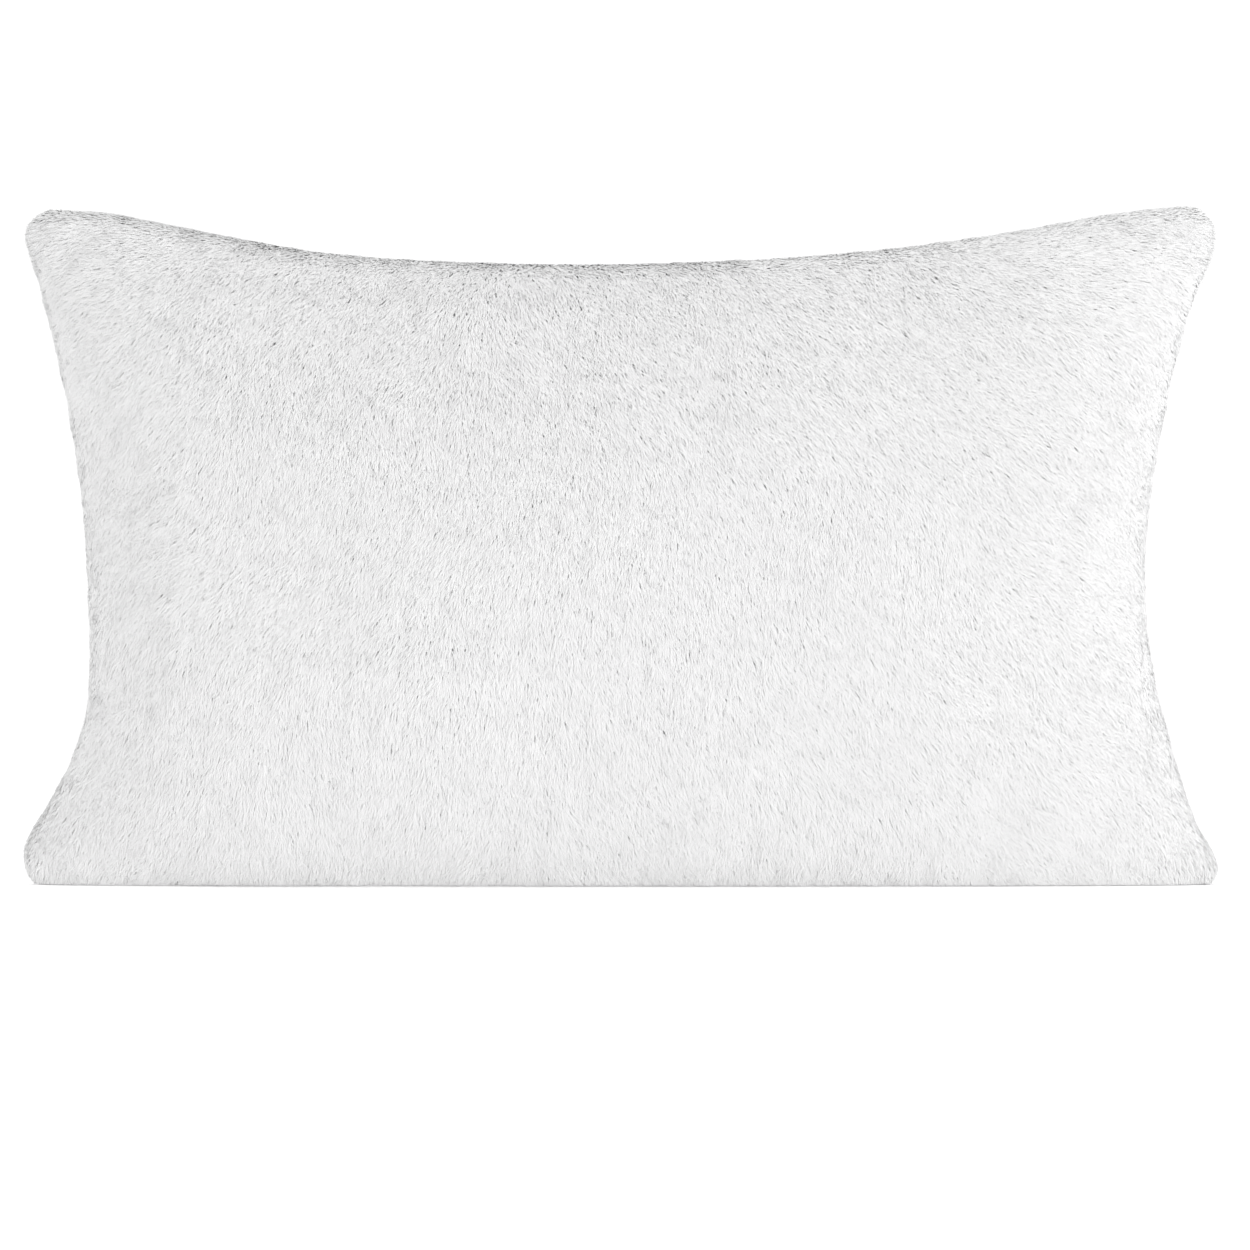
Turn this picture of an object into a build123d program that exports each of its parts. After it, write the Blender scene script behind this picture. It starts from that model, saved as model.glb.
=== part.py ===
from build123d import *
import os
from math import cos, pi, sin, sqrt

# Plush lumbar pillow that stands on one long edge: a zipped cover over a fibre-filled insert.
# Millimetres. X runs along the pillow's width, the plush front faces -Y and the zipped back +Y,
# and Z is up. The origin is on the floor, below the middle of the seam plane y = 0.

# ---- seam line of the cover, where the front and back meet
HALF_WIDTH_MIDDLE = 220.0  # the sides are drawn in at mid-height
HALF_WIDTH_TOP_CORNER = 247.0
HALF_WIDTH_FOOT_CORNER = 257.0  # below the floor plane, where the corner is squashed off
TOP_MIDDLE = 259.0  # the top edge sags between its two corners
TOP_CORNER = 284.0
FOOT = -15.0  # the round lower edge would reach here if the floor didn't flatten it
DEPTH = 56.0  # from the seam plane to the fullest point of either side

# ---- layers, counted inwards from the outside
PLUSH_WALL = 6.0  # knitted backing and its combed-down pile
BACK_WALL = 2.4
SEAM_ALLOWANCE_END = 8.0
ALLOWANCE_THICK = 1.0
ALLOWANCE_ROOT = 0.8  # how far each allowance runs into its panel's wall
OVERLOCK_WIDTH = 0.6
OVERLOCK_PROUD = 0.1
INSERT_EDGE = 9.2
INSERT_WALL = 0.6
INSERT_GAP = 0.6  # between the cover's inner face and the insert, away from the seams
FILL_EDGE = 10.9
FILL_GAP = 0.8

# ---- zip across the lower back
ZIP_Z = 46.0
ZIP_LAND = 36.0  # the zip holds the lower back flat at this depth
LAND_TOP = 64.0  # above this the back swells out to its full depth
LAND_RAMP_Y = 60.0
LAND_RAMP_Z = 75.0
SLOT_HALF_LENGTH = 160.0
SLOT_HALF_HEIGHT = 5.4
SLOT_OVERCUT = 1.0  # the slot's cutter starts this far inside the wall
TAPE_WIDTH = 14.0
TAPE_THICK = 0.6
CHAIN_HALF_LENGTH = 154.0
CHAIN_GAP = 0.5  # from the zip's centre line to each tape and each row of teeth
TOOTH_REACH = 1.1
TOOTH_LENGTH = 1.1
TOOTH_PITCH = 2.0
COIL_SPINE = 1.5
COIL_HEIGHT = 2.2
STOP_LENGTH = 2.2
STOP_GAP = 0.2
STOP_PROUD = 0.2

# ---- slider and pull
SLIDER_X = 146.0  # the zip is closed at rest, with the slider at its +X end
SLIDER_LENGTH = 12.0
SLIDER_MOUTH_HALF = 4.6
SLIDER_TAIL_HALF = 4.0
SLIDER_PLATE = 1.2
SLIDER_CORNER = 0.8
SLIDER_GAP = 0.3
SLIDER_WEB = 0.4
SLIDER_WEB_LENGTH = 4.0
SLIDER_WEB_SETBACK = 0.5  # from the slider's nose
SLIDER_LIP = 0.9
SLIDER_LIP_SETBACK = 1.0
BRIDGE_LENGTH = 9.0
BRIDGE_POST = 1.2
BRIDGE_WIDTH = 2.4
BRIDGE_ROOM = 2.0
BRIDGE_BAR = 1.2
BRIDGE_ROOT = 0.4  # how deep the bridge's feet sink into the top plate
BRIDGE_CORNER = 1.0
PULL_PIN_RADIUS = 0.8
PULL_THICK = 1.2
PULL_WIDTH = 6.4
PULL_ARM = 1.2
PULL_ARM_LENGTH = 6.6
PULL_LENGTH = 28.0
PULL_CORNER = 3.0
PULL_HOLE_RADIUS = 1.3

# ---- thread and labels
THREAD = 0.5
STITCH_LENGTH = 3.0
STITCH_PITCH = 4.0
TOPSTITCH_OFFSET = 9.0  # from the zip's centre line
SEAM_THREAD_INSET = 6.9
CORNER_BLOCK = 26.0  # the seam turns its corners without thread showing
BARTACK_LENGTH = 1.6
BARTACK_HALF_HEIGHT = 7.0
CLOSING_SEAM_START = 40.0
CLOSING_SEAM_LENGTH = 110.0
CLOSING_SEAM_Y = 3.0
LABEL_WIDTH = 38.0
LABEL_REACH = 20.0
LABEL_THICK = 0.3
CARE_LABEL_X = -150.0
CARE_LABEL_Z = 4.2
INSERT_LABEL_X = 140.0
INSERT_LABEL_Y = -2.0
INSERT_THREAD_GAP = 0.2  # between the casing's wall and its seam thread
SKIN_TOLERANCE = 0.02

# ---- worked out from the values above
WALL_INNER_Y = ZIP_LAND - BACK_WALL
TAPE_INNER_Y = WALL_INNER_Y - TAPE_THICK
CHAIN_TOP_Y = WALL_INNER_Y + COIL_HEIGHT
SLIDER_TOP_Y = CHAIN_TOP_Y + SLIDER_GAP + SLIDER_PLATE
SLIDER_BOTTOM_Y = TAPE_INNER_Y - SLIDER_GAP - SLIDER_PLATE
PULL_PIN_Y = SLIDER_TOP_Y + BRIDGE_ROOM / 2
INSERT_LAND = SLIDER_BOTTOM_Y - INSERT_GAP
CHAIN_HALF_HEIGHT = CHAIN_GAP + TOOTH_REACH + COIL_SPINE

FRONT = -1
BACK = 1
UP = 1
DOWN = -1
GRID_ACROSS = 16
GRID_UP = 14
HUGE = 1000.0


def block(x_range, y_range, z_range):
    """A box between two values on each axis."""
    ranges = (x_range, y_range, z_range)
    middle = [(low + high) / 2 for low, high in ranges]
    size = [high - low for low, high in ranges]
    return Pos(*middle) * Box(*size)


def skin_point(across, up, edge_inset, depth, side):
    """A point of a stuffed panel. Both angles run from -90 to 90 degrees, seam to seam."""
    u = sin(across)
    v = sin(up)
    corner = HALF_WIDTH_TOP_CORNER if v > 0 else HALF_WIDTH_FOOT_CORNER
    half_width = HALF_WIDTH_MIDDLE + (corner - HALF_WIDTH_MIDDLE) * v**2 - edge_inset
    foot = FOOT + edge_inset
    top = TOP_MIDDLE + (TOP_CORNER - TOP_MIDDLE) * u**2 - edge_inset
    swell = cos(across) * sqrt(1 + u**2) * cos(up)
    return Vector(u * half_width, side * depth * swell, foot + (v + 1) / 2 * (top - foot))


def stuffed_half(edge_inset, depth, side):
    """The solid between the seam plane and one swollen skin, flat where it meets the floor."""
    across = [pi * (i / GRID_ACROSS - 0.5) for i in range(GRID_ACROSS + 1)]
    up = [pi * (j / GRID_UP - 0.5) for j in range(GRID_UP + 1)]
    points = [[skin_point(a, b, edge_inset, depth, side) for b in up] for a in across]
    skin = Face.make_surface_from_array_of_points(points, tol=SKIN_TOLERANCE)
    seam_plane = Face(Wire(skin.edges()))
    swollen = Solid(Shell([skin, seam_plane]))
    above_floor = block((-HUGE, HUGE), (-HUGE, HUGE), (edge_inset, HUGE))
    return swollen & above_floor


def zip_hollow(land):
    """What the zip takes off the back: all that stands out past its flat land."""
    profile = Polyline(
        (land, -HUGE),
        (land, LAND_TOP),
        (land + LAND_RAMP_Y, LAND_TOP + LAND_RAMP_Z),
        (HUGE, LAND_TOP + LAND_RAMP_Z),
        (HUGE, -HUGE),
        close=True,
    )
    return extrude(Plane.YZ * make_face(profile), HUGE, both=True)


def back_half(edge_inset, depth, land):
    return stuffed_half(edge_inset, depth, BACK) - zip_hollow(land)


def seam_prism(edge_inset, y_range):
    """The area inside the seam line at an inset, as a plate between two depths."""
    half = stuffed_half(edge_inset, DEPTH, FRONT)
    outline = half.faces().filter_by(Axis.Y)[0]
    low, high = y_range
    plate = Solid.extrude(outline, Vector(0, high - low, 0))
    return Pos(0, low, 0) * plate


def seam_ring(outer_inset, inner_inset, y_range):
    return seam_prism(outer_inset, y_range) - seam_prism(inner_inset, y_range)


def without_corners(ring):
    """Four straight runs of thread, which stop short of the pinched corners."""
    corners = Compound([])
    for side in (-1, 1):
        for centre_x, centre_z in ((HALF_WIDTH_TOP_CORNER, TOP_CORNER), (HALF_WIDTH_FOOT_CORNER, 0)):
            centre = Pos(side * centre_x, 0, centre_z)
            corners += centre * Box(2 * CORNER_BLOCK, HUGE, 2 * CORNER_BLOCK)
    return ring - corners


# ---------------------------------------------------------------- cover
def front_panel():
    outer = stuffed_half(0, DEPTH, FRONT)
    inner = stuffed_half(PLUSH_WALL, DEPTH - PLUSH_WALL, FRONT)
    allowance = seam_ring(PLUSH_WALL - ALLOWANCE_ROOT, SEAM_ALLOWANCE_END, (-ALLOWANCE_THICK, 0))
    return outer - inner + allowance


def zip_slot():
    z_range = (ZIP_Z - SLOT_HALF_HEIGHT, ZIP_Z + SLOT_HALF_HEIGHT)
    return block((-SLOT_HALF_LENGTH, SLOT_HALF_LENGTH), (WALL_INNER_Y - SLOT_OVERCUT, HUGE), z_range)


def back_panel():
    outer = back_half(0, DEPTH, ZIP_LAND)
    inner = back_half(BACK_WALL, DEPTH - BACK_WALL, WALL_INNER_Y)
    allowance = seam_ring(BACK_WALL - ALLOWANCE_ROOT, SEAM_ALLOWANCE_END, (0, ALLOWANCE_THICK))
    return outer - inner + allowance - zip_slot()


def back_panel_upper():
    return back_panel() & block((-HUGE, HUGE), (-HUGE, HUGE), (ZIP_Z, HUGE))


def back_panel_lower():
    return back_panel() & block((-HUGE, HUGE), (-HUGE, HUGE), (-HUGE, ZIP_Z))


def cover_seam_thread():
    """The line of lockstitch through both allowances, on the front one and the back one."""
    rings = []
    for side in (FRONT, BACK):
        faces = sorted((side * ALLOWANCE_THICK, side * (ALLOWANCE_THICK + THREAD)))
        rings += without_corners(seam_ring(SEAM_THREAD_INSET, SEAM_THREAD_INSET + THREAD, faces)).solids()
    return Compound(rings)


def cover_overlock_thread():
    """Thread wound over the raw edge of both allowances."""
    reach = ALLOWANCE_THICK + OVERLOCK_PROUD
    return seam_ring(SEAM_ALLOWANCE_END, SEAM_ALLOWANCE_END + OVERLOCK_WIDTH, (-reach, reach))


def care_label():
    x_range = (CARE_LABEL_X - LABEL_WIDTH / 2, CARE_LABEL_X + LABEL_WIDTH / 2)
    y_range = (ALLOWANCE_THICK, ALLOWANCE_THICK + LABEL_REACH)
    return block(x_range, y_range, (CARE_LABEL_Z, CARE_LABEL_Z + LABEL_THICK))


# ---------------------------------------------------------------- zip
def zip_tape(way):
    edges = sorted((ZIP_Z + way * CHAIN_GAP, ZIP_Z + way * TAPE_WIDTH))
    return block((-SLOT_HALF_LENGTH, SLOT_HALF_LENGTH), (TAPE_INNER_Y, WALL_INNER_Y), edges)


def zip_coil(way):
    """One row of the nylon chain: a spine with teeth that reach for the other row's gaps."""
    offset = TOOTH_PITCH / 4 * way
    count = int(2 * CHAIN_HALF_LENGTH / TOOTH_PITCH) - 1
    spine_z = ZIP_Z + way * (CHAIN_GAP + TOOTH_REACH + COIL_SPINE / 2)
    tooth_z = ZIP_Z + way * (CHAIN_GAP + TOOTH_REACH / 2)
    spine = Pos(0, spine_z) * Rectangle(2 * CHAIN_HALF_LENGTH, COIL_SPINE)
    teeth = GridLocations(TOOTH_PITCH, 1, count, 1) * Rectangle(TOOTH_LENGTH, TOOTH_REACH)
    comb = spine + Pos(offset, tooth_z) * Sketch(children=teeth)
    return Pos(0, CHAIN_TOP_Y, 0) * extrude(Plane.XZ * comb, COIL_HEIGHT)


def stop_clamp(x_start, z_range):
    y_range = (WALL_INNER_Y, CHAIN_TOP_Y + STOP_PROUD)
    return block((x_start, x_start + STOP_LENGTH), y_range, z_range)


def zip_top_stops():
    """A clamp on the end of each row, beyond the slider."""
    start = CHAIN_HALF_LENGTH + STOP_GAP
    clamps = []
    for way in (UP, DOWN):
        edges = sorted((ZIP_Z + way * CHAIN_GAP, ZIP_Z + way * CHAIN_HALF_HEIGHT))
        clamps.append(stop_clamp(start, edges))
    return Compound(clamps)


def zip_bottom_stop():
    start = -CHAIN_HALF_LENGTH - STOP_GAP - STOP_LENGTH
    return stop_clamp(start, (ZIP_Z - CHAIN_HALF_HEIGHT, ZIP_Z + CHAIN_HALF_HEIGHT))


def zip_stitches(way):
    """Topstitching that holds one tape to its panel."""
    row_z = ZIP_Z + way * TOPSTITCH_OFFSET
    count = int(2 * SLOT_HALF_LENGTH / STITCH_PITCH)
    stitch = Box(STITCH_LENGTH, THREAD, THREAD)
    row = GridLocations(STITCH_PITCH, 1, count, 1) * stitch
    return Pos(0, ZIP_LAND + THREAD / 2, row_z) * Compound(row)


def zip_end_bartacks():
    """A dense bar of stitches across each end of the zip's slot."""
    bars = []
    z_range = (ZIP_Z - BARTACK_HALF_HEIGHT, ZIP_Z + BARTACK_HALF_HEIGHT)
    for start in (-SLOT_HALF_LENGTH - BARTACK_LENGTH, SLOT_HALF_LENGTH):
        bars.append(block((start, start + BARTACK_LENGTH), (ZIP_LAND, ZIP_LAND + THREAD), z_range))
    return Compound(bars)


def slider_plate(y_low):
    """One of the slider's two plates, wide at the mouth and narrower at the tail."""
    nose = SLIDER_X + SLIDER_LENGTH / 2
    tail = SLIDER_X - SLIDER_LENGTH / 2
    outline = Polyline(
        (tail, ZIP_Z - SLIDER_TAIL_HALF),
        (SLIDER_X, ZIP_Z - SLIDER_MOUTH_HALF),
        (nose, ZIP_Z - SLIDER_MOUTH_HALF),
        (nose, ZIP_Z + SLIDER_MOUTH_HALF),
        (SLIDER_X, ZIP_Z + SLIDER_MOUTH_HALF),
        (tail, ZIP_Z + SLIDER_TAIL_HALF),
        close=True,
    )
    plate = extrude(Plane.XZ * make_face(outline), SLIDER_PLATE)
    corners = plate.edges().filter_by(Axis.Y)
    return Pos(0, y_low + SLIDER_PLATE, 0) * fillet(corners, SLIDER_CORNER)


def slider_lip(way):
    """The turned-down edge that keeps one row of teeth under the top plate."""
    low = WALL_INNER_Y + SLIDER_GAP
    edges = sorted((ZIP_Z + way * (SLIDER_MOUTH_HALF - SLIDER_LIP), ZIP_Z + way * SLIDER_MOUTH_HALF))
    x_range = (SLIDER_X, SLIDER_X + SLIDER_LENGTH / 2 - SLIDER_LIP_SETBACK)
    return block(x_range, (low, SLIDER_TOP_Y - SLIDER_PLATE / 2), edges)


def slider_bridge():
    """The arch on the top plate that the pull's pin hangs in."""
    high = SLIDER_TOP_Y + BRIDGE_ROOM + BRIDGE_BAR
    x_range = (SLIDER_X - BRIDGE_LENGTH / 2, SLIDER_X + BRIDGE_LENGTH / 2)
    room_x = (x_range[0] + BRIDGE_POST, x_range[1] - BRIDGE_POST)
    z_range = (ZIP_Z - BRIDGE_WIDTH / 2, ZIP_Z + BRIDGE_WIDTH / 2)
    arch = block(x_range, (SLIDER_TOP_Y - BRIDGE_ROOT, high), z_range)
    shoulders = arch.edges().filter_by(Axis.Z).group_by(Axis.Y)[-1]
    room = block(room_x, (SLIDER_TOP_Y, SLIDER_TOP_Y + BRIDGE_ROOM), z_range)
    return fillet(shoulders, BRIDGE_CORNER) - room


def zip_slider_body():
    nose = SLIDER_X + SLIDER_LENGTH / 2
    web_x = (nose - SLIDER_WEB_LENGTH, nose - SLIDER_WEB_SETBACK)
    web_y = (SLIDER_BOTTOM_Y + SLIDER_PLATE / 2, SLIDER_TOP_Y - SLIDER_PLATE / 2)
    web = block(web_x, web_y, (ZIP_Z - SLIDER_WEB / 2, ZIP_Z + SLIDER_WEB / 2))
    body = slider_plate(SLIDER_TOP_Y - SLIDER_PLATE) + slider_plate(SLIDER_BOTTOM_Y) + web
    return body + slider_lip(UP) + slider_lip(DOWN) + slider_bridge()


def zip_pull_tab():
    """A flat tab whose two arms reach past the bridge to a round pin under it."""
    blank = Pos(-PULL_LENGTH / 2, 0) * RectangleRounded(PULL_LENGTH, PULL_WIDTH, PULL_CORNER)
    window_width = PULL_WIDTH - 2 * PULL_ARM
    window = Pos(-PULL_ARM_LENGTH / 2, 0) * Rectangle(PULL_ARM_LENGTH, window_width)
    square_end = Pos(-PULL_WIDTH / 4, 0) * Rectangle(PULL_WIDTH / 2, PULL_WIDTH)
    hole = Pos(-PULL_LENGTH + PULL_WIDTH / 2, 0) * Circle(PULL_HOLE_RADIUS)
    flat = extrude(Plane.XZ * (blank + square_end - window - hole), PULL_THICK / 2, both=True)
    pin = Cylinder(PULL_PIN_RADIUS, PULL_WIDTH)
    return Pos(SLIDER_X, PULL_PIN_Y, ZIP_Z) * (flat + pin)


# ---------------------------------------------------------------- insert
def insert_front_panel():
    depth = DEPTH - PLUSH_WALL - INSERT_GAP
    outer = stuffed_half(INSERT_EDGE, depth, FRONT)
    return outer - stuffed_half(INSERT_EDGE + INSERT_WALL, depth - INSERT_WALL, FRONT)


def insert_back_panel():
    depth = DEPTH - BACK_WALL - INSERT_GAP
    outer = back_half(INSERT_EDGE, depth, INSERT_LAND)
    inner_edge = INSERT_EDGE + INSERT_WALL
    return outer - back_half(inner_edge, depth - INSERT_WALL, INSERT_LAND - INSERT_WALL)


def insert_seam_thread():
    inset = INSERT_EDGE + INSERT_WALL + INSERT_THREAD_GAP
    return without_corners(seam_ring(inset, inset + THREAD, (-THREAD / 2, THREAD / 2)))


def insert_closing_stitches():
    """The row under the insert that shuts the gap it was filled through."""
    count = int(CLOSING_SEAM_LENGTH / STITCH_PITCH)
    row = GridLocations(STITCH_PITCH, 1, count, 1) * Box(STITCH_LENGTH, THREAD, THREAD)
    middle_x = CLOSING_SEAM_START + CLOSING_SEAM_LENGTH / 2
    return Pos(-middle_x, CLOSING_SEAM_Y, INSERT_EDGE - THREAD / 2) * Compound(row)


def insert_label():
    x_range = (INSERT_LABEL_X - LABEL_WIDTH / 2, INSERT_LABEL_X + LABEL_WIDTH / 2)
    y_range = (INSERT_LABEL_Y - LABEL_REACH, INSERT_LABEL_Y)
    return block(x_range, y_range, (INSERT_EDGE - LABEL_THICK, INSERT_EDGE))


def fibre_fill():
    """The filling, as a front wad and a back wad that meet at the seam plane."""
    front_depth = DEPTH - PLUSH_WALL - INSERT_GAP - INSERT_WALL - FILL_GAP
    back_depth = DEPTH - BACK_WALL - INSERT_GAP - INSERT_WALL - FILL_GAP
    front = stuffed_half(FILL_EDGE, front_depth, FRONT)
    back = back_half(FILL_EDGE, back_depth, INSERT_LAND - INSERT_WALL - FILL_GAP)
    return Compound(front.solids() + back.solids())


PARTS = {
    "front_panel": front_panel,
    "back_panel_upper": back_panel_upper,
    "back_panel_lower": back_panel_lower,
    "cover_seam_thread": cover_seam_thread,
    "cover_overlock_thread": cover_overlock_thread,
    "care_label": care_label,
    "zip_tape_upper": lambda: zip_tape(UP),
    "zip_tape_lower": lambda: zip_tape(DOWN),
    "zip_coil_upper": lambda: zip_coil(UP),
    "zip_coil_lower": lambda: zip_coil(DOWN),
    "zip_top_stops": zip_top_stops,
    "zip_bottom_stop": zip_bottom_stop,
    "zip_stitches_upper": lambda: zip_stitches(UP),
    "zip_stitches_lower": lambda: zip_stitches(DOWN),
    "zip_end_bartacks": zip_end_bartacks,
    "zip_slider_body": zip_slider_body,
    "zip_pull_tab": zip_pull_tab,
    "insert_front_panel": insert_front_panel,
    "insert_back_panel": insert_back_panel,
    "insert_seam_thread": insert_seam_thread,
    "insert_closing_stitches": insert_closing_stitches,
    "insert_label": insert_label,
    "fibre_fill": fibre_fill,
}

os.makedirs("parts", exist_ok=True)
for name, make in PARTS.items():
    export_step(make(), f"parts/{name}.step")
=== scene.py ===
from math import pi, radians

import bpy
import numpy as np
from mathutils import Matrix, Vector


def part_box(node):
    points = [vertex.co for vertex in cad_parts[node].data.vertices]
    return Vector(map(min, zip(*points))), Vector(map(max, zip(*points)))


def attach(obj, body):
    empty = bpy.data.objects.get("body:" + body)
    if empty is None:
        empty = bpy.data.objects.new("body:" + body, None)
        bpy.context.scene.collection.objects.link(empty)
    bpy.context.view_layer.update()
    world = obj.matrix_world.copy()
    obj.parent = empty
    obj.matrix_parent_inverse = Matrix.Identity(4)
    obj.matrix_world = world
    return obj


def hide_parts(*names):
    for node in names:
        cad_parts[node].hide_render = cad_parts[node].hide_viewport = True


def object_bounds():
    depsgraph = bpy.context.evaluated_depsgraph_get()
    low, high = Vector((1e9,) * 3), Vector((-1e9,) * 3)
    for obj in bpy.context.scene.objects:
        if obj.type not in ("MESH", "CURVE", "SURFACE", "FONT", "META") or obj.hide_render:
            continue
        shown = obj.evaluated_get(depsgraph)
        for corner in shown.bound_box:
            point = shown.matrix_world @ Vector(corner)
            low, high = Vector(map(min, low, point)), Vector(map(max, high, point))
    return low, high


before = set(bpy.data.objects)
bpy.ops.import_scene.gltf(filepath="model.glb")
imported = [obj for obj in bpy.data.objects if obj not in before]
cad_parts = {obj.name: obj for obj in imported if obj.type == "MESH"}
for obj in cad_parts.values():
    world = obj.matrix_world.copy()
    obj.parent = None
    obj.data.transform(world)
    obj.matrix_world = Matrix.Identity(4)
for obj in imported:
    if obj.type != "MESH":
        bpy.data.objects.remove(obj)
CAD_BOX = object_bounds()

# Metres, in the CAD's frame: X along the width, -Y out of the plush front, Z up.
MM = 0.001
FRONT, BACK = -1, 1
UPPER, LOWER = 1, -1

# ---- the pillow's shape, in millimetres, from its seam line inwards
RIGHT_SIDE = (
    (-15, 235), (0, 246), (6, 248.5), (13, 247), (22, 241.5), (35, 236.5), (56, 230), (98, 220.5),
    (129, 218.5), (181, 224), (244, 238.5), (265, 246), (286, 247),
)
LEFT_SIDE = (
    (-15, 232), (0, 243), (6, 247), (14, 248), (23, 244.5), (35, 237), (60, 225.5),
    (119, 221.5), (181, 227), (244, 240), (272, 247), (286, 248),
)
TOP_EDGE = (
    (-250, 281.3), (-217, 279.8), (-175, 272.2), (-133, 264.5), (-50, 258.8),
    (33, 259.3), (117, 265.3), (158, 271), (221, 281.3), (250, 283.2),
)
FOOT = -15.0
PRESSED_OUT = 5.0  # how much depth the simulation and the pile give back
DEPTH = (CAD_BOX[1].y - CAD_BOX[0].y) / 2 / MM - PRESSED_OUT
CORNER_RADIUS = 12.0
FLOOR_SOFTNESS = 1.5
ZIP_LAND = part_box("back_panel_lower")[1].y / MM
ZIP_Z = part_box("back_panel_lower")[1].z / MM
LAND_TOP = 64.0
LAND_SLOPE = 0.8
LAND_BLEND = 7.0
HALF_WIDTH_TYPICAL = 232.0
HALF_HEIGHT_TYPICAL = 137.0
SEAM_PUCKER = {FRONT: 0.3, BACK: 0.8}  # the thick plush hides most of it
SLOW_SWELL = 1.5
RIDGE_HEIGHT, HOLLOW_DEPTH, CREASE_DEPTH = 1.8, 2.2, 1.6
OUTLINE_PASSES = 6  # the width depends on the height and the other way round, so both are refined in turn

# ---- how the cover settles over its fill
SIM_COLUMNS, SIM_ROWS = 120, 74
SIM_FRAMES = 20
SIM_PRESSURE = 4.0
SIM_SLACK = 0.05
SIM_MOST = 8.0
SEAM_HOLD = 12.0  # how fast the settled move fades in from the seam
PLUSH_STIFFNESS = 0.7  # the part of each fold that the thick plush takes up
HELD_NEAR_ZIP = 17.0
HELD_NEAR_FLOOR = 1.0

# ---- zip, in millimetres
SLOT_HALF_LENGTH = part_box("zip_tape_lower")[1].x / MM
SLOT_HALF_HEIGHT = 5.2
SEAM_HALF_GAP = 0.35
HEM_FOLD = ((-0.5, -0.35), (-1.2, -0.3), (-1.7, 0.7), (-1.7, 8.0))  # depth and height off the hem's edge
HEM_CLOSED_HEIGHT = 0.25  # the fold's height beyond the slot, as a part of its height along it
HEM_SHOWS_FROM = 10.0  # the fold fades out where the panel is nearer to the seam plane than this
RIPPLE_HEIGHT = 0.9
RIPPLE_STARTS, RIPPLE_REACH = 8.0, 30.0
RELIEF_FADE = 12.0
TOPSTITCH_OFFSET = 9.0
TOPSTITCH_DIMPLE = 0.35
STITCH_PITCH = 4.0
STITCH_LENGTH = 3.3
THREAD_RADIUS = 0.26
COIL_PITCH = 2.0
COIL_RADIUS = 0.4
COIL_HALF_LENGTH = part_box("zip_coil_lower")[1].x / MM
COIL_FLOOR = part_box("zip_coil_lower")[0].y / MM
COIL_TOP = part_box("zip_coil_lower")[1].y / MM
COIL_NEAR, COIL_FAR = 0.3, 3.1  # from the zip's centre line
COIL_STITCH_OFFSET, COIL_STITCH_LENGTH, COIL_STITCH_LEAN = 2.1, 1.7, 0.35
BARTACK_SWINGS = 17
BARTACK_REACH = 1.0
BARTACK_INSET = 0.8

# ---- layers inside the cover, counted in from its outside
INSERT_EDGE = 9.2
INSERT_FRONT_INSET = 6.6
INSERT_BACK_INSET = 5.2
FILL_EDGE = 10.9
FILL_INSET = 8.4

LABEL_CURL, LABEL_CURL_LENGTH = 0.12, 6.0

# ---- pile
BACKING_EDGE = 0.4
PILE_LIFT = 2.6  # how far the combed-down pile stands over its backing
PILE_SEED = 11
FAN_X, FAN_Z = -40.0, 400.0  # the pile is combed away from here
FLOW_TURN = 0.14
TUFTS_PER_CM2 = 270.0
TUFT_LENGTH = 5.6
TUFT_WIDTH = 0.8
TUFT_CROWN = 0.5
TUFT_RINGS = ((0.0, 0.75), (0.38, 1.0), (0.75, 0.6), (1.0, 0.12))  # place along the lock, and width there
LENGTH_SPREAD, LIFT_SPREAD, WIDTH_SPREAD = (0.7, 1.15), (0.85, 1.08), (0.6, 1.2)
STRAY, TILT = 0.26, 0.22  # radians, as a standard deviation
CLUMPING = 0.1
SHORTEST_GROWN, FLATTEST = 0.35, 0.15
EDGE_LENGTH, EDGE_GAIN = 1.2, 0.7  # a lock's greatest length at the outline, and its gain per mm inside it
FLOOR_CLEARANCE = 0.3
PILE_SCATTER = 0.5  # light scattered within the pile evens its shading out towards the front
TUFT_OWN_NORMAL = 0.18  # how much a lock is shaded by its own shape, against the panel's
RIM_OWN_NORMAL = 0.32
RIM_OUTWARD = 1.5  # how far the shading turns out of the outline at its very edge
FLAT_PIECES = 11
SOLID_PIECES = 5
OWN_NORMAL_TILT = 0.8  # skin that looks up is lit the most, so its locks' own shape counts for less
# How squarely the skin faces the front, from 0 at its rim to 1, where
SOLID_BELOW = 0.6  # locks start to be closed forms
LYING_BELOW = 0.85  # the pile starts to lie ever flatter
PILE_STARTS, PILE_FULL = 0.02, 0.45  # the pile starts, and has its full length

# ---- studio
BACKDROP = 1.1
FRONT_SKY = 0.68
BACK_SKY = 0.5
FLOOR_GLOW = 0.24
OVERHEAD_LIGHT = 0.95
KEY_POWER = 12.5
BACK_POWER = 8.0
FLOOR_REACH = 9000.0
FRAME_WIDTH = 0.521  # what the camera sees across, in metres
AIM_X, AIM_Z = 0.002, 0.108
LENS, SENSOR = 180.0, 36.0


# ---------------------------------------------------------------- curves and noise
def through(points):
    """A smooth function through a few given points."""
    at, value = np.array(points, float).T
    slope = np.gradient(value, at)

    def curve(t):
        t = np.clip(t, at[0], at[-1])
        i = np.clip(np.searchsorted(at, t) - 1, 0, len(at) - 2)
        step = at[i + 1] - at[i]
        s = (t - at[i]) / step
        rise = value[i + 1] - value[i]
        a = slope[i] * step - rise
        b = rise - slope[i + 1] * step
        return value[i] + s * rise + s * (1 - s) * ((1 - s) * a + s * b)

    return curve


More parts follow.
